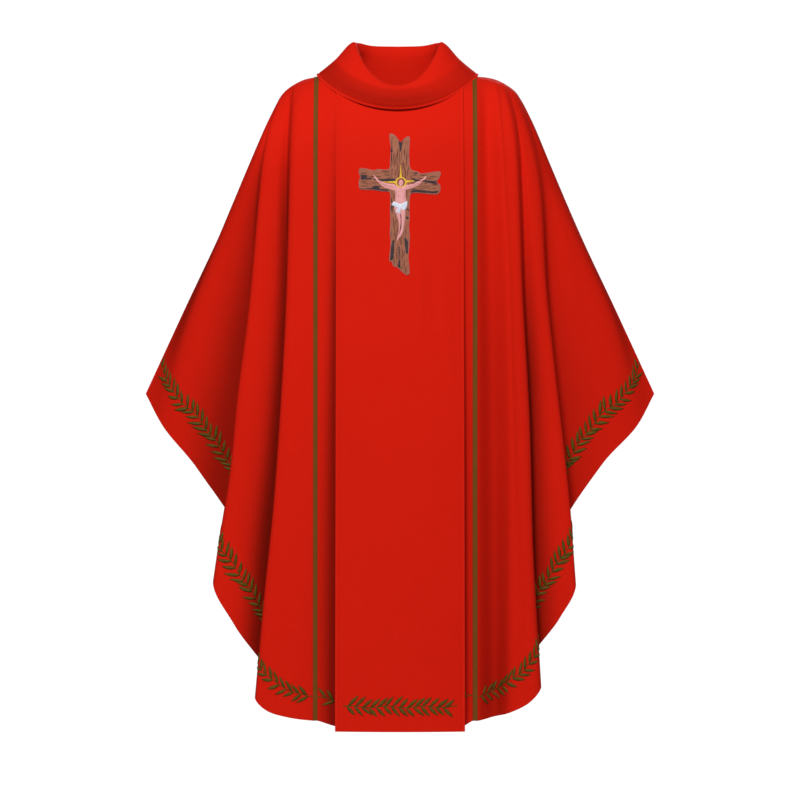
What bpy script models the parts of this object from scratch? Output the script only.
"""A priest's chasuble: front and back centre panels, folded side panels, a rolled collar and its trims.

Metres, +Z up, the front faces -Y. The origin is the middle of the neck opening at shoulder level.
"Left" is -X, the left of someone who faces the front. A height is written as a drop below the shoulders.
"""

import math

import bmesh
import bpy
from mathutils import Vector
from mathutils.geometry import delaunay_2d_cdt

# Overall sizes.
LENGTH = 1.295  # shoulders to the hem of the centre panel
REACH = 0.508  # middle to a wing tip
TIP_DROP = 0.634  # shoulders to a wing tip
FRONT_DEPTH_TOP = 0.128  # middle to the chest
FRONT_DEPTH_HEM = 0.172  # middle to the front hem
BACK_DEPTH_TOP = 0.116
BACK_DEPTH_HEM = 0.156
ROLL_DROP = 0.160  # height over which the cloth rolls over the shoulders
SIDE_FALL = 0.022  # how much further back the cloth lies by the galloons
WING_ROLL_DROP = 0.090  # height over which it rolls over the arms
WING_SHARE = 0.5  # fold lines with a smaller share of the depth lie on the arms
BACK_TUCK = 0.05  # the back's folds lie this share of their depth further in

# Centre panel and galloons.
PANEL_WIDTH = 0.252
UNDERLAP = 0.030  # side panel's edge under the centre panel
PANEL_CLEARANCE = 0.0008  # between a side panel's edge and the centre panel over it, at the neck
PANEL_LIFT_HEM = 0.0120
HEM_STEP = 0.020  # how much lower the centre panel's hem is than the hem beside it
GALLOON_WIDTH = 0.010
GALLOON_SET_OFF = {"left": 0.0375, "right": 0.0165}  # start of the shoulder seam to the galloon
GALLOON_THICKNESS = 0.0008

# Cloth and clearances.
CLOTH = 0.0016
GAP = 0.0004  # between two layers
SEAM_GAP = 0.0006  # between two edges that are sewn together
FACING_DEPTH = 0.025
FACING_THICKNESS = 0.0008
GARLAND_WIDTH = 0.048
GARLAND_RISE = 0.060  # side hem to the middle of the garland
CENTRE_GARLAND_WIDTH = 0.042
CENTRE_GARLAND_RISE = 0.049  # the centre panel's hem to the middle of its garland
GARLAND_THICKNESS = 0.0008
TAPE_WIDTH = 0.006
TAPE_THICKNESS = 0.0006
TAPE_CLEARANCE = 0.0032  # below the rounded cloth

# Neck and collar.
NECK_HALF_WIDTH = 0.128
NECK_FRONT = 0.095
NECK_BACK = 0.062
NECK_POINT_STEP = 0.0025  # neck opening to the first cut of the shoulder seam
NECK_FACING_DEPTH = 0.045
COLLAR_SHIFT = -0.005  # the collar sits a little to the left
COLLAR_TOP_IN = 0.0355  # the roll's top is this much narrower than the neck opening on each side
COLLAR_TOP_OUT_FRONT = 0.007  # and this much in front of it
COLLAR_TOP_OUT_BACK = 0.002
COLLAR_HEIGHT = 0.063
COLLAR_FRONT_DIP = 0.082  # how far the front of the roll dips below its sides
COLLAR_EDGE_OUT = 0.029  # the fall's lower edge reaches this far past the start of the shoulder seam
COLLAR_EDGE_OUT_FRONT = 0.039
COLLAR_EDGE_OUT_BACK = 0.044
COLLAR_EDGE_HEIGHT = 0.0065
COLLAR_EDGE_DIP = 0.071
COLLAR_EDGE_BACK_DIP = 0.046
COLLAR_ROLL = 0.010
STAND_CLEARANCE = 0.006
INTERLINING_THICKNESS = 0.0006
INTERLINING_CLEARANCE = 0.0010

# Appliqué.
CROSS_MIDDLE_DROP = 0.214  # shoulders to the middle of the cross's arm
CROSS_THICKNESS = 0.0012
PATCH_STAND_OFF = 0.0024  # a patch's back above the panel's faces
FIGURE_THICKNESS = 0.0010

# How finely the faces are cut.
TOP_ROWS = (0.0, 0.020, NECK_FACING_DEPTH, 0.085, 0.130, 0.190)  # distances below the upper edge
BODY_ROWS = 8
CURVE_STEPS = 14
RING_STEPS = 32
COLLAR_STEPS = 3  # for each of the collar's roll, upper fall and lower fall
PANEL_COLUMNS = 3  # between the middle of the centre panel and the edge of a side panel under it
CROSS_SPACING = 0.008  # between the points that fill a patch
FIGURE_SPACING = 0.005
INNER_POINT_SHARE = 0.7  # a point inside a patch keeps this share of a spacing from its border
WELD_DISTANCE = 1e-6

# The shoulder seam, from the middle to a wing tip: share of REACH, share of TIP_DROP.
SEAM = [
    (0.00, 0.000), (0.30, 0.000), (0.378, 0.010), (0.453, 0.047), (0.484, 0.085), (0.530, 0.161),
    (0.589, 0.274), (0.711, 0.502), (0.844, 0.729), (1.00, 1.000),
]

# Fold lines of a side panel, from its galloon outwards. Each one has its cloth steps from the line
# before it, its depth below the shoulder and at the hem as shares of the depth at the galloon, and its
# places: share of the way from the galloon to the wing tip, share of LENGTH. The first place lies on
# the shoulder seam.
FOLDS = {
    "left": [
        ("inner_a", 2, 1.01, 1.01, [(0.040, 0), (0.065, 0.23), (0.085, 0.60), (0.125, 0.9800)]),
        ("inner_b", 2, 1.01, 1.01, [(0.070, 0), (0.095, 0.23), (0.150, 0.60), (0.262, 0.9690)]),
        (
            "inner_crest", 2, 0.96, 0.97,
            [(0.100, 0), (0.122, 0.15), (0.152, 0.386), (0.218, 0.646), (0.278, 0.798), (0.338, 0.939)],
        ),
        (
            "inner_return", 3, 0.79, 0.72,
            [(0.125, 0), (0.148, 0.15), (0.128, 0.386), (0.150, 0.646), (0.192, 0.798), (0.240, 0.908)],
        ),
        (
            "middle", 3, 0.81, 0.81,
            [(0.155, 0), (0.200, 0.15), (0.240, 0.386), (0.335, 0.646), (0.466, 0.832)],
        ),
        (
            "middle_crest", 3, 0.755, 0.785,
            [(0.185, 0), (0.254, 0.089), (0.302, 0.188), (0.374, 0.371), (0.435, 0.493), (0.483, 0.615),
             (0.549, 0.719), (0.579, 0.774)],
        ),
        (
            "middle_return", 3, 0.55, 0.465,
            [(0.225, 0), (0.330, 0.188), (0.335, 0.371), (0.362, 0.493), (0.390, 0.615), (0.408, 0.690)],
        ),
        ("wing_a", 3, 0.435, 0.335, [(0.250, 0), (0.450, 0.23), (0.540, 0.38), (0.675, 0.607)]),
        ("wing_b", 2, 0.285, 0.185, [(0.268, 0), (0.520, 0.23), (0.735, 0.38), (0.890, 0.540)]),
    ],
    "right": [
        ("groove", 2, 0.885, 0.80, [(0.050, 0), (0.061, 0.19), (0.078, 0.53), (0.089, 0.9795)]),
        ("inner_a", 2, 0.98, 1.00, [(0.100, 0), (0.150, 0.23), (0.175, 0.53), (0.174, 0.9720)]),
        ("inner_b", 2, 0.96, 0.985, [(0.120, 0), (0.175, 0.23), (0.215, 0.53), (0.286, 0.9560)]),
        (
            "inner_crest", 2, 0.925, 0.935,
            [(0.140, 0), (0.197, 0.096), (0.242, 0.34), (0.281, 0.524), (0.304, 0.737), (0.344, 0.934)],
        ),
        (
            "inner_return", 3, 0.785, 0.695,
            [(0.165, 0), (0.231, 0.096), (0.262, 0.34), (0.272, 0.524), (0.262, 0.737), (0.270, 0.905)],
        ),
        (
            "middle", 3, 0.79, 0.76,
            [(0.190, 0), (0.304, 0.23), (0.383, 0.524), (0.426, 0.737), (0.450, 0.832)],
        ),
        (
            "middle_crest", 3, 0.70, 0.735,
            [(0.215, 0), (0.327, 0.157), (0.383, 0.34), (0.468, 0.554), (0.508, 0.658), (0.542, 0.780)],
        ),
        (
            "middle_return", 3, 0.55, 0.455,
            [(0.250, 0), (0.366, 0.157), (0.395, 0.34), (0.417, 0.554), (0.429, 0.690)],
        ),
        ("wing_a", 3, 0.435, 0.335, [(0.280, 0), (0.482, 0.23), (0.590, 0.38), (0.694, 0.599)]),
        ("wing_b", 2, 0.285, 0.185, [(0.312, 0), (0.539, 0.23), (0.762, 0.38), (0.893, 0.540)]),
    ],
}
SEAM_START = {"left": 0.283, "right": 0.328}  # share of the way out where the last line joins the seam
SEAM_LINE_STEPS = 2

SIGN = {"left": -1.0, "right": 1.0}
FACE_SIGN = {"front": -1.0, "back": 1.0}
DEPTHS = {"front": (FRONT_DEPTH_TOP, FRONT_DEPTH_HEM), "back": (BACK_DEPTH_TOP, BACK_DEPTH_HEM)}
NECK_DEPTH = {"front": NECK_FRONT, "back": NECK_BACK}
HALF_CLOTH = CLOTH / 2
SIDE_HEM_DROP = LENGTH - HEM_STEP
SEAM_START_X = max(PANEL_WIDTH / 2, NECK_HALF_WIDTH)  # the shoulder seam starts at the wider of the two


def clear_scene():
    for thing in list(bpy.data.objects):
        bpy.data.objects.remove(thing, do_unlink=True)


def make_material(name, colour, roughness, metallic=0.0):
    material = bpy.data.materials.new(name)
    material.use_nodes = True
    shader = material.node_tree.nodes["Principled BSDF"]
    shader.inputs["Base Color"].default_value = (*colour, 1.0)
    shader.inputs["Roughness"].default_value = roughness
    shader.inputs["Metallic"].default_value = metallic
    material.diffuse_color = (*colour, 1.0)
    return material


def smooth_curve(points, steps):
    """Centripetal Catmull-Rom curve through the points, with a number of steps for each span."""
    points = [Vector(point) for point in points]
    ends = [points[0] * 2 - points[1], *points, points[-1] * 2 - points[-2]]
    if isinstance(steps, int):
        steps = [steps] * (len(points) - 1)
    curve = [points[0]]
    for span, count in enumerate(steps):
        p0, p1, p2, p3 = ends[span : span + 4]
        t1 = math.sqrt(max((p1 - p0).length, 1e-6))
        t2 = t1 + math.sqrt(max((p2 - p1).length, 1e-6))
        t3 = t2 + math.sqrt(max((p3 - p2).length, 1e-6))
        for step in range(1, count + 1):
            t = t1 + (t2 - t1) * step / count
            a1 = p0.lerp(p1, t / t1)
            a2 = p1.lerp(p2, (t - t1) / (t2 - t1))
            a3 = p2.lerp(p3, (t - t2) / (t3 - t2))
            b1 = a1.lerp(a2, t / t2)
            b2 = a2.lerp(a3, (t - t1) / (t3 - t1))
            curve.append(b1.lerp(b2, (t - t1) / (t2 - t1)))
    return curve


def point_along(curve, distance):
    """The point at a distance along a fine curve."""
    for start, end in zip(curve, curve[1:]):
        step = (end - start).length
        if distance <= step:
            return start.lerp(end, distance / step) if step else start.copy()
        distance -= step
    return curve[-1].copy()


def curve_length(curve):
    return sum((end - start).length for start, end in zip(curve, curve[1:]))


SEAM_CURVE = smooth_curve([(x * REACH, drop * TIP_DROP, 0) for x, drop in SEAM], CURVE_STEPS)


def galloon_edges(side):
    """Distances from the middle of the galloon's inner and outer edges."""
    inner = SEAM_START_X + GALLOON_SET_OFF[side]
    return inner, inner + GALLOON_WIDTH


def body_depths(x, face):
    """Depth of the body at x, below the shoulder and at the hem; it falls back towards the sides."""
    back = SIDE_FALL * (x / galloon_edges("left")[1]) ** 2
    return DEPTHS[face][0] - back, DEPTHS[face][1] - back


def seam_drop(x):
    """Drop of the shoulder seam at a distance from the middle."""
    for start, end in zip(SEAM_CURVE, SEAM_CURVE[1:]):
        if x <= end.x:
            return start.y + (end.y - start.y) * (x - start.x) / (end.x - start.x)
    return SEAM_CURVE[-1].y


def rolled_depth(fall, roll, top, hem, share):
    """Depth in front of the seam, at a fall below it: the cloth rolls over and then slopes to the hem."""
    turn = math.sqrt(max(0.0, 1 - (1 - min(fall, roll) / roll) ** 2))
    return (top + (hem - top) * share) * turn


def column_line(x, hem_drop, face):
    """An upright line of the body at x, from the neck opening or the shoulder seam down to the hem."""
    top, hem = body_depths(x, face)
    start = seam_drop(abs(x))
    if abs(x) < NECK_HALF_WIDTH:
        cut = NECK_DEPTH[face] * math.sqrt(1 - (x / NECK_HALF_WIDTH) ** 2)
        start += ROLL_DROP * (1 - math.sqrt(1 - (cut / top) ** 2))
    steps = CURVE_STEPS * 4
    line = []
    for step in range(steps + 1):
        drop = start + (hem_drop - start) * (step / steps) ** 2
        fall = drop - seam_drop(abs(x))
        depth = rolled_depth(fall, ROLL_DROP, top, hem, drop / LENGTH)
        line.append(Vector((x, FACE_SIGN[face] * (depth + SEAM_GAP / 2), -drop)))
    return line


def fold_line(side, face, top_share, hem_share, places):
    """A line of a side panel between its galloon and the seam line."""
    edge = galloon_edges(side)[1]
    top, hem = body_depths(edge, face)
    roll = ROLL_DROP if top_share > WING_SHARE else WING_ROLL_DROP
    first_x = edge + (REACH - edge) * places[0][0]
    start = seam_drop(first_x)
    flat = [(first_x, start, 0)]
    flat += [(edge + (REACH - edge) * across, LENGTH * down, 0) for across, down in places[1:]]
    line = []
    for point in smooth_curve(flat, CURVE_STEPS * 2):
        fall = max(point.y - start, 0.0)
        share = point.y / flat[-1][1]
        depth = rolled_depth(fall, roll, top * top_share, hem * hem_share, share)
        tuck = BACK_TUCK * depth if face == "back" else 0.0
        y = FACE_SIGN[face] * (depth + SEAM_GAP / 2)
        line.append(Vector((SIGN[side] * (point.x - tuck), y, -point.y)))
    return line


def seam_line(side, face):
    """The shoulder seam from where the fold lines end to the wing tip."""
    edge = galloon_edges(side)[1]
    first_x = edge + (REACH - edge) * SEAM_START[side]
    y = FACE_SIGN[face] * SEAM_GAP / 2
    line = [Vector((SIGN[side] * first_x, y, -seam_drop(first_x)))]
    line += [Vector((SIGN[side] * point.x, y, -point.y)) for point in SEAM_CURVE if point.x > first_x]
    return line


def underlap_columns():
    """Distances from the middle of the lines that the centre panel and a side panel share."""
    edge = PANEL_WIDTH / 2
    return [edge - UNDERLAP, edge - UNDERLAP / 2, edge]


def side_lines(side, face):
    """All lines of a side panel and the cloth steps between them."""
    sign = SIGN[side]
    columns = [*underlap_columns(), SEAM_START_X + NECK_POINT_STEP, *galloon_edges(side)]
    lines = [column_line(sign * x, SIDE_HEM_DROP, face) for x in columns]
    steps = [1] * (len(columns) - 1)
    for _, count, top, hem, places in FOLDS[side]:
        lines.append(fold_line(side, face, top, hem, places))
        steps.append(count)
    lines.append(seam_line(side, face))
    steps.append(SEAM_LINE_STEPS)
    return lines, steps


def hem_stretches(lines, sign):
    """For each line, how much longer a strip's width is along the line than square to the hem."""
    ends = [line[-1] for line in lines]
    stretches = []
    for place, line in enumerate(lines):
        before = ends[max(place - 1, 0)]
        after = ends[min(place + 1, len(ends) - 1)]
        run = (ends[place].xy - before.xy).length + (after.xy - ends[place].xy).length
        slope = math.atan2(after.z - before.z, run)
        last = line[-1] - line[-4]
        tilt = math.atan2(sign * last.x, -last.z)
        stretches.append(1 / max(math.cos(slope - tilt), 0.4))
    return stretches


def row_points(line, hem_rows):
    """Points down a line: some close below its upper edge, even rows, and rows at heights above the hem."""
    total = curve_length(line)
    top = TOP_ROWS[-1]
    bottom = total - hem_rows[0]
    distances = list(TOP_ROWS[:-1])
    distances += [top + (bottom - top) * row / BODY_ROWS for row in range(BODY_ROWS + 1)]
    distances += [total - height for height in hem_rows[1:]]
    return [point_along(line, distance) for distance in distances]


def grid_normals(grid, outward):
    """Unit normals at a grid's points; on the shoulder seam they keep to the seam's own plane."""
    rows = len(grid)
    columns = len(grid[0])
    normals = []
    for row in range(rows):
        line = []
        for column in range(columns):
            down = grid[min(row + 1, rows - 1)][column] - grid[max(row - 1, 0)][column]
            across = grid[row][min(column + 1, columns - 1)] - grid[row][max(column - 1, 0)]
            normal = across.cross(down) * outward
            if abs(grid[row][column].y) < SEAM_GAP:
                normal.y = 0.0
            line.append(normal.normalized())
        normals.append(line)
    return normals


def cut_grid(grid, normals, rows, columns, inset=(0.0, 0.0)):
    """Part of a grid, rows and columns given as first and last, its outer columns drawn in by an inset."""
    across = slice(columns[0], columns[1] + 1)
    down = slice(rows[0], rows[1] + 1)
    points = [[point.copy() for point in line[across]] for line in grid[down]]
    turned = [line[across] for line in normals[down]]
    for line in points:
        first = (line[1] - line[0]).normalized() * inset[0]
        last = (line[-2] - line[-1]).normalized() * inset[1]
        line[0] += first
        line[-1] += last
    return points, turned


def make_object(name, vertices, faces, material):
    mesh = bpy.data.meshes.new(name)
    mesh.from_pydata(vertices, [], faces)
    shape = bmesh.new()
    shape.from_mesh(mesh)
    bmesh.ops.recalc_face_normals(shape, faces=shape.faces)
    shape.to_mesh(mesh)
    shape.free()
    mesh.materials.append(material)
    thing = bpy.data.objects.new(name, mesh)
    bpy.context.scene.collection.objects.link(thing)
    return thing


def sheet(name, grid, normals, low, high, material, middle=0):
    """A solid of cloth between two heights above a grid.

    Each four-sided face is cut from its upper inner corner to its lower outer one, so that layers lie
    parallel. "Inner" is towards the middle column, which is the first one on a side panel.
    """
    rows = len(grid)
    columns = len(grid[0])
    vertices = []
    for height in (low, high):
        for line, turned in zip(grid, normals):
            vertices += [point + normal * height for point, normal in zip(line, turned)]
    size = rows * columns
    faces = []
    for row in range(rows - 1):
        for column in range(columns - 1):
            a = row * columns + column
            b, c, d = a + 1, a + columns + 1, a + columns
            for base in (0, size):
                if column < middle:
                    faces += [(base + a, base + b, base + d), (base + b, base + c, base + d)]
                else:
                    faces += [(base + a, base + b, base + c), (base + a, base + c, base + d)]
    rim = list(range(columns))
    rim += [row * columns + columns - 1 for row in range(1, rows)]
    rim += [(rows - 1) * columns + column for column in range(columns - 2, -1, -1)]
    rim += [row * columns for row in range(rows - 2, 0, -1)]
    for start, end in zip(rim, rim[1:] + rim[:1]):
        faces += [(start, end, end + size), (start, end + size, start + size)]
    return make_object(name, vertices, faces, material)


def ring(name, loops, material):
    """A solid whose profile is a closed list of loops round the neck."""
    count = len(loops[0])
    vertices = [point for loop in loops for point in loop]
    faces = []
    for place in range(len(loops)):
        low = place * count
        high = (place + 1) % len(loops) * count
        for step in range(count):
            after = (step + 1) % count
            faces += [(low + step, low + after, high + after), (low + step, high + after, high + step)]
    return make_object(name, vertices, faces, material)


def side_grid(side, face):
    sign = SIGN[side]
    lines, steps = side_lines(side, face)
    heights = [GARLAND_RISE + GARLAND_WIDTH / 2, GARLAND_RISE - GARLAND_WIDTH / 2, FACING_DEPTH, 0.0]
    stretches = hem_stretches(lines, sign)
    columns = [row_points(line, [h * stretch for h in heights]) for line, stretch in zip(lines, stretches)]
    grid = [smooth_curve(points, steps) for points in zip(*columns)]
    return grid, grid_normals(grid, sign * FACE_SIGN[face])


def side_panel(side, face, materials):
    """A side panel with its galloon, hem facing and the garland on both sides of the galloon."""
    grid, normals = side_grid(side, face)
    last_row = len(grid) - 1
    last_column = len(grid[0]) - 1
    name = f"{face}_{side}"
    top = HALF_CLOTH + GAP
    sheet(f"{name}_panel", grid, normals, -HALF_CLOTH, HALF_CLOTH, materials["cloth"])
    edge = len(underlap_columns()) - 1
    points, turned = cut_grid(grid, normals, (0, last_row), (edge + 2, edge + 3))
    sheet(f"{name}_galloon", points, turned, top, top + GALLOON_THICKNESS, materials["galloon"])
    points, turned = cut_grid(grid, normals, (last_row - 1, last_row), (0, last_column))
    sheet(f"{name}_hem_facing", points, turned, -top - FACING_THICKNESS, -top, materials["facing"])
    band = (last_row - 3, last_row - 2)
    points, turned = cut_grid(grid, normals, band, (edge, edge + 2), (0.0, GAP))
    sheet(f"{name}_garland_inner", points, turned, top, top + GARLAND_THICKNESS, materials["garland"])
    points, turned = cut_grid(grid, normals, band, (edge + 3, last_column), (GAP, GAP))
    sheet(f"{name}_garland_outer", points, turned, top, top + GARLAND_THICKNESS, materials["garland"])


def centre_grid(face):
    """The centre panel's grid, lifted off the side panels that it covers."""
    inner, *shared = underlap_columns()
    half = [inner * step / PANEL_COLUMNS for step in range(1, PANEL_COLUMNS + 1)] + shared
    places = [-x for x in reversed(half)] + [0.0] + half
    lift_top = CLOTH + PANEL_CLEARANCE
    heights = [GARLAND_RISE + GARLAND_WIDTH / 2 + HEM_STEP, CENTRE_GARLAND_RISE + CENTRE_GARLAND_WIDTH / 2]
    heights += [CENTRE_GARLAND_RISE - CENTRE_GARLAND_WIDTH / 2, FACING_DEPTH, 0.0]
    columns = [row_points(column_line(x, LENGTH, face), heights) for x in places]
    flat = [list(points) for points in zip(*columns)]
    normals = grid_normals(flat, FACE_SIGN[face])
    grid = []
    for line, turned in zip(flat, normals):
        lifted = []
        for point, normal in zip(line, turned):
            share = min(max(-point.z / LENGTH, 0.0), 1.0)
            lifted.append(point + normal * (lift_top + (PANEL_LIFT_HEM - lift_top) * share))
        grid.append(lifted)
    return grid, grid_normals(grid, FACE_SIGN[face])


def centre_panel(face, materials):
    grid, normals = centre_grid(face)
    last_row = len(grid) - 1
    last_column = len(grid[0]) - 1
    middle = last_column // 2
    top = HALF_CLOTH + GAP
    low = -top - FACING_THICKNESS
    high = top + GARLAND_THICKNESS
    sheet(f"{face}_centre_panel", grid, normals, -HALF_CLOTH, HALF_CLOTH, materials["cloth"], middle)
    points, turned = cut_grid(grid, normals, (last_row - 1, last_row), (0, last_column))
    sheet(f"{face}_centre_hem_facing", points, turned, low, -top, materials["facing"], middle)
    points, turned = cut_grid(grid, normals, (last_row - 3, last_row - 2), (0, last_column), (GAP, GAP))
    sheet(f"{face}_centre_garland", points, turned, top, high, materials["garland"], middle)
    neck_rows = (0, TOP_ROWS.index(NECK_FACING_DEPTH))
    under = len(underlap_columns())
    points, turned = cut_grid(grid, normals, neck_rows, (under, last_column - under))
    sheet(f"{face}_neck_facing", points, turned, low, -top, materials["facing"], middle - under)
    return grid, normals


def oval(half_width, front, back, angle):
    """A point of an oval round the neck; an angle of -90 degrees is the middle of the front."""
    depth = front if math.sin(angle) < 0 else back
    return Vector((COLLAR_SHIFT + half_width * math.cos(angle), depth * math.sin(angle), 0.0))


def collar_profile(angle):
    """The roll's top, the fall's middle and its lower edge, and the outward direction, at an angle."""
    front = max(-math.sin(angle), 0.0)
    back = max(math.sin(angle), 0.0)
    fronts = (NECK_FRONT + COLLAR_TOP_OUT_FRONT, NECK_FRONT + COLLAR_EDGE_OUT_FRONT)
    backs = (NECK_BACK + COLLAR_TOP_OUT_BACK, NECK_BACK + COLLAR_EDGE_OUT_BACK)
    top = oval(NECK_HALF_WIDTH - COLLAR_TOP_IN, fronts[0], backs[0], angle)
    top.z = COLLAR_HEIGHT - COLLAR_FRONT_DIP * front**1.5 - 0.004 * back**4
    edge = oval(SEAM_START_X + COLLAR_EDGE_OUT, fronts[1], backs[1], angle)
    edge.z = COLLAR_EDGE_HEIGHT - COLLAR_EDGE_DIP * front**1.5 - COLLAR_EDGE_BACK_DIP * back**2
    outward = Vector((math.cos(angle), math.sin(angle), 0.0))
    middle = top.lerp(edge, 0.5) + outward * (0.009 * front - 0.005 * (1 - front))
    return top, middle, edge, outward


def collar(materials):
    """The collar's outer fall with its roll, the interlining inside it and the stand."""
    fall_out, fall_in, liner_out, liner_in, stand_out, stand_in = [], [], [], [], [], []
    up = Vector((0.0, 0.0, 1.0))
    for step in range(RING_STEPS):
        angle = 2 * math.pi * step / RING_STEPS
        top, middle, edge, outward = collar_profile(angle)
        tuck = top - outward * COLLAR_ROLL - up * COLLAR_ROLL
        profile = smooth_curve([tuck, top, middle, edge], COLLAR_STEPS)
        normals = []
        for place in range(len(profile)):
            run = profile[min(place + 1, len(profile) - 1)] - profile[max(place - 1, 0)]
            around = Vector((-outward.y, outward.x, 0.0))
            normals.append(around.cross(run).normalized() * -1)
        if normals[-1].dot(outward) < 0:
            normals = [-normal for normal in normals]
        fall_out.append([point + normal * HALF_CLOTH for point, normal in zip(profile, normals)])
        fall_in.append([point - normal * HALF_CLOTH for point, normal in zip(profile, normals)])
        inner = HALF_CLOTH + INTERLINING_CLEARANCE
        outer = inner + INTERLINING_THICKNESS
        below_roll = slice(COLLAR_STEPS + 2, -1)
        lined = list(zip(profile[below_roll], normals[below_roll]))
        liner_out.append([point - normal * inner for point, normal in lined])
        liner_in.append([point - normal * outer for point, normal in lined])
        neck = oval(NECK_HALF_WIDTH + COLLAR_SHIFT - STAND_CLEARANCE, NECK_FRONT - STAND_CLEARANCE,
                    NECK_BACK - STAND_CLEARANCE, angle)
        front = max(-math.sin(angle), 0.0)
        neck.z = -(NECK_FRONT / FRONT_DEPTH_TOP) ** 2 * ROLL_DROP / 2 * front**2
        head = tuck - up * (CLOTH + GAP)
        wall = smooth_curve([head, head.lerp(neck, 0.5), neck], [1, 1])
        stand_out.append([point + outward * HALF_CLOTH for point in wall])
        stand_in.append([point - outward * HALF_CLOTH for point in wall])
    for name, outside, inside, material in (
        ("collar_fall", fall_out, fall_in, "cloth"),
        ("collar_interlining", liner_out, liner_in, "interlining"),
        ("collar_stand", stand_out, stand_in, "cloth"),
    ):
        loops = [list(loop) for loop in zip(*outside)]
        loops += [list(loop) for loop in reversed(list(zip(*inside)))]
        ring(name, loops, materials[material])


def shoulder_tape(side, materials):
    """A narrow tape under the shoulder seam, from the neck to the point of the shoulder."""
    upper_edge = side_grid(side, "front")[0][0]
    points = upper_edge[len(underlap_columns()) + 1 :]
    across = Vector((0.0, -SIGN[side], 0.0))
    edge = TAPE_WIDTH / 2
    grid = [[Vector((point.x, -edge, point.z)), Vector((point.x, edge, point.z))] for point in points]
    normals = []
    for place in range(len(grid)):
        run = grid[min(place + 1, len(grid) - 1)][0] - grid[max(place - 1, 0)][0]
        normal = across.cross(run).normalized()
        normals.append([normal, normal])
    high = -HALF_CLOTH - TAPE_CLEARANCE
    sheet(f"{side}_shoulder_tape", grid, normals, high - TAPE_THICKNESS, high, materials["tape"])


# Appliqué outlines: x and height from the middle of the cross.
CROSS = [
    (-0.020, 0.091), (0.002, 0.075), (0.018, 0.087), (0.020, 0.021), (0.060, 0.018), (0.079, 0.012),
    (0.072, -0.004), (0.080, -0.010), (0.076, -0.027), (0.021, -0.022), (0.022, -0.100), (0.018, -0.187),
    (0.010, -0.172), (0.000, -0.178), (-0.020, -0.161), (-0.021, -0.090), (-0.019, -0.021), (-0.060, -0.019),
    (-0.078, -0.016), (-0.074, -0.002), (-0.082, 0.006), (-0.080, 0.023), (-0.040, 0.020), (-0.020, 0.024),
]
FIGURE_HEAD = (0.002, -0.005, 0.0064)
FIGURE_LEFT = [
    (-0.052, 0.006), (-0.034, -0.009), (-0.018, -0.019), (-0.011, -0.030), (-0.009, -0.042), (-0.010, -0.054),
    (-0.008, -0.066), (-0.002, -0.080), (-0.004, -0.095), (-0.007, -0.108), (-0.008, -0.122),
]
FIGURE_RIGHT = [
    (-0.001, -0.123), (0.004, -0.112), (0.008, -0.100), (0.014, -0.088), (0.015, -0.070), (0.013, -0.056),
    (0.011, -0.044), (0.013, -0.030), (0.020, -0.019), (0.036, -0.010), (0.052, 0.001), (0.054, 0.006),
    (0.048, 0.006), (0.033, -0.004), (0.018, -0.011), (0.007, -0.012),
]
FIGURE_SHOULDER = [(-0.003, -0.011), (-0.014, -0.010), (-0.030, -0.003), (-0.047, 0.010), (-0.053, 0.012)]
LOINCLOTH = [
    (-0.013, -0.044), (0.013, -0.044), (0.016, -0.052), (0.013, -0.060), (0.010, -0.068), (0.002, -0.062),
    (-0.008, -0.066), (-0.016, -0.070), (-0.015, -0.055),
]
HALO_RADIUS = 0.0092
HALO_RAYS = [(6, 0.035), (90, 0.036), (180, 0.036)]
HALO_ARC_STEP = 15  # degrees between points of the disc's rim
RAY_HALF_ANGLE = 9


def figure_outline():
    """The figure with outstretched arms; the head is an arc between the shoulders."""
    x, z, radius = FIGURE_HEAD
    angles = [math.radians(angle) for angle in range(-50, 231, 20)]
    head = [(x + radius * math.cos(angle), z + radius * math.sin(angle)) for angle in angles]
    return FIGURE_LEFT + FIGURE_RIGHT + head + FIGURE_SHOULDER


def halo_outline():
    """A disc behind the head with a pointed ray to each side and one upwards."""
    x, z, _ = FIGURE_HEAD
    turns = []
    for angle, length in HALO_RAYS:
        turns += [(angle - RAY_HALF_ANGLE, HALO_RADIUS), (angle, length), (angle + RAY_HALF_ANGLE, HALO_RADIUS)]
    for angle in range(0, 360, HALO_ARC_STEP):
        if all(abs((angle - ray + 180) % 360 - 180) > RAY_HALF_ANGLE * 2 for ray, _ in HALO_RAYS):
            turns.append((angle, HALO_RADIUS))
    turns.sort(key=lambda turn: turn[0] % 360)
    return [
        (x + radius * math.cos(math.radians(angle)), z + radius * math.sin(math.radians(angle)))
        for angle, radius in turns
    ]


def face_y(outside, x, z):
    """Y of the centre panel's outer faces at x and z."""

    def at_height(column):
        for upper, lower in zip(outside, outside[1:]):
            if z >= lower[column].z:
                share = (upper[column].z - z) / (upper[column].z - lower[column].z)
                return upper[column].lerp(lower[column], max(share, 0.0))
        return outside[-1][column]

    points = [at_height(column) for column in range(len(outside[0]))]
    for start, end in zip(points, points[1:]):
        if x <= end.x:
            share = (x - start.x) / (end.x - start.x)
            return start.y + (end.y - start.y) * max(share, 0.0)
    return points[-1].y


def inside_outline(outline, x, z):
    """True where a point lies inside a closed outline."""
    inside = False
    for (x0, z0), (x1, z1) in zip(outline, outline[1:] + outline[:1]):
        if (z0 > z) != (z1 > z) and x < x0 + (x1 - x0) * (z - z0) / (z1 - z0):
            inside = not inside
    return inside


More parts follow.
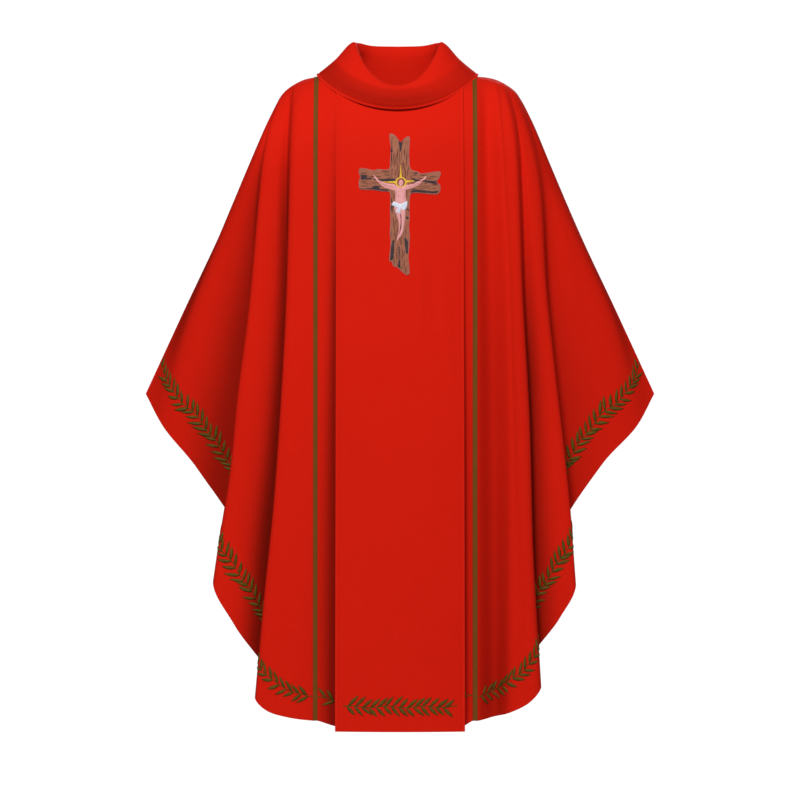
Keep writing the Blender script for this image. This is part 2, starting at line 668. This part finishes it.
def filled_outline(outline, spacing):
    """Points and well-shaped triangles that fill a closed outline, about one spacing apart."""
    border = []
    for start, end in zip(outline, outline[1:] + outline[:1]):
        start, end = Vector(start), Vector(end)
        pieces = max(1, round((end - start).length / spacing))
        border += [start.lerp(end, step / pieces) for step in range(pieces)]
    lowest = [min(point[axis] for point in border) for axis in (0, 1)]
    highest = [max(point[axis] for point in border) for axis in (0, 1)]
    counts = [int((high - low) / spacing) for low, high in zip(lowest, highest)]
    inner = []
    for row in range(counts[1] + 1):
        for column in range(counts[0] + 1):
            shift = 0.5 * (row % 2)
            point = Vector((lowest[0] + (column + shift) * spacing, lowest[1] + row * spacing))
            clear = all((point - other).length > INNER_POINT_SHARE * spacing for other in border)
            if clear and inside_outline(outline, *point):
                inner.append(point)
    around = list(range(len(border)))
    points, _, faces, *_ = delaunay_2d_cdt(border + inner, [], [around], 1, WELD_DISTANCE)
    return points, faces


def patch(name, outline, outside, stand_off, thickness, spacing, material):
    """A flat outline laid over the centre panel: filled with small faces, bent to it and thickened."""
    points, faces = filled_outline(outline, spacing)
    heights = [z - CROSS_MIDDLE_DROP for _, z in points]
    lower = [
        Vector((point[0], face_y(outside, point[0], z) - stand_off, z))
        for point, z in zip(points, heights)
    ]
    upper = [point - Vector((0.0, thickness, 0.0)) for point in lower]
    size = len(lower)
    sides = {}
    walls = []
    for face in faces:
        for a, b in zip(face, face[1:] + face[:1]):
            sides[(a, b)] = True
    for a, b in sides:
        if (b, a) not in sides:
            walls += [(a, b, size + b), (a, size + b, size + a)]
    lids = [tuple(size + place for place in reversed(face)) for face in faces]
    make_object(name, lower + upper, [tuple(face) for face in faces] + lids + walls, material)


def applique(grid, normals, materials):
    """The cross, the halo, the figure and its loincloth, each laid over the one before."""
    outside = [
        [point + normal * HALF_CLOTH for point, normal in zip(line, turned)]
        for line, turned in zip(grid, normals)
    ]
    halo_thickness = FIGURE_THICKNESS * 0.6
    level = PATCH_STAND_OFF
    for name, outline, thickness, spacing, material in (
        ("cross_patch", CROSS, CROSS_THICKNESS, CROSS_SPACING, "wood_thread"),
        ("halo_patch", halo_outline(), halo_thickness, FIGURE_SPACING, "gold_thread"),
        ("figure_patch", figure_outline(), FIGURE_THICKNESS, FIGURE_SPACING, "skin_thread"),
        ("loincloth_patch", LOINCLOTH, FIGURE_THICKNESS, FIGURE_SPACING, "white_thread"),
    ):
        patch(name, outline, outside, level, thickness, spacing, materials[material])
        level += thickness + GAP


def make_materials():
    return {
        "cloth": make_material("red_cloth", (0.62, 0.018, 0.008), 0.75),
        "facing": make_material("red_facing", (0.50, 0.014, 0.007), 0.8),
        "galloon": make_material("olive_galloon", (0.16, 0.062, 0.008), 0.6),
        "garland": make_material("olive_garland", (0.115, 0.080, 0.010), 0.6),
        "interlining": make_material("interlining_canvas", (0.75, 0.72, 0.65), 0.9),
        "tape": make_material("cotton_tape", (0.70, 0.66, 0.58), 0.9),
        "wood_thread": make_material("wood_brown_thread", (0.40, 0.115, 0.062), 0.6),
        "skin_thread": make_material("pink_thread", (0.87, 0.38, 0.38), 0.55),
        "white_thread": make_material("white_thread", (0.85, 0.84, 0.82), 0.55),
        "gold_thread": make_material("gold_thread", (0.80, 0.45, 0.06), 0.5),
    }


def main():
    clear_scene()
    materials = make_materials()
    for face in ("front", "back"):
        grid, normals = centre_panel(face, materials)
        if face == "front":
            applique(grid, normals, materials)
        for side in ("left", "right"):
            side_panel(side, face, materials)
    for side in ("left", "right"):
        shoulder_tape(side, materials)
    collar(materials)


main()
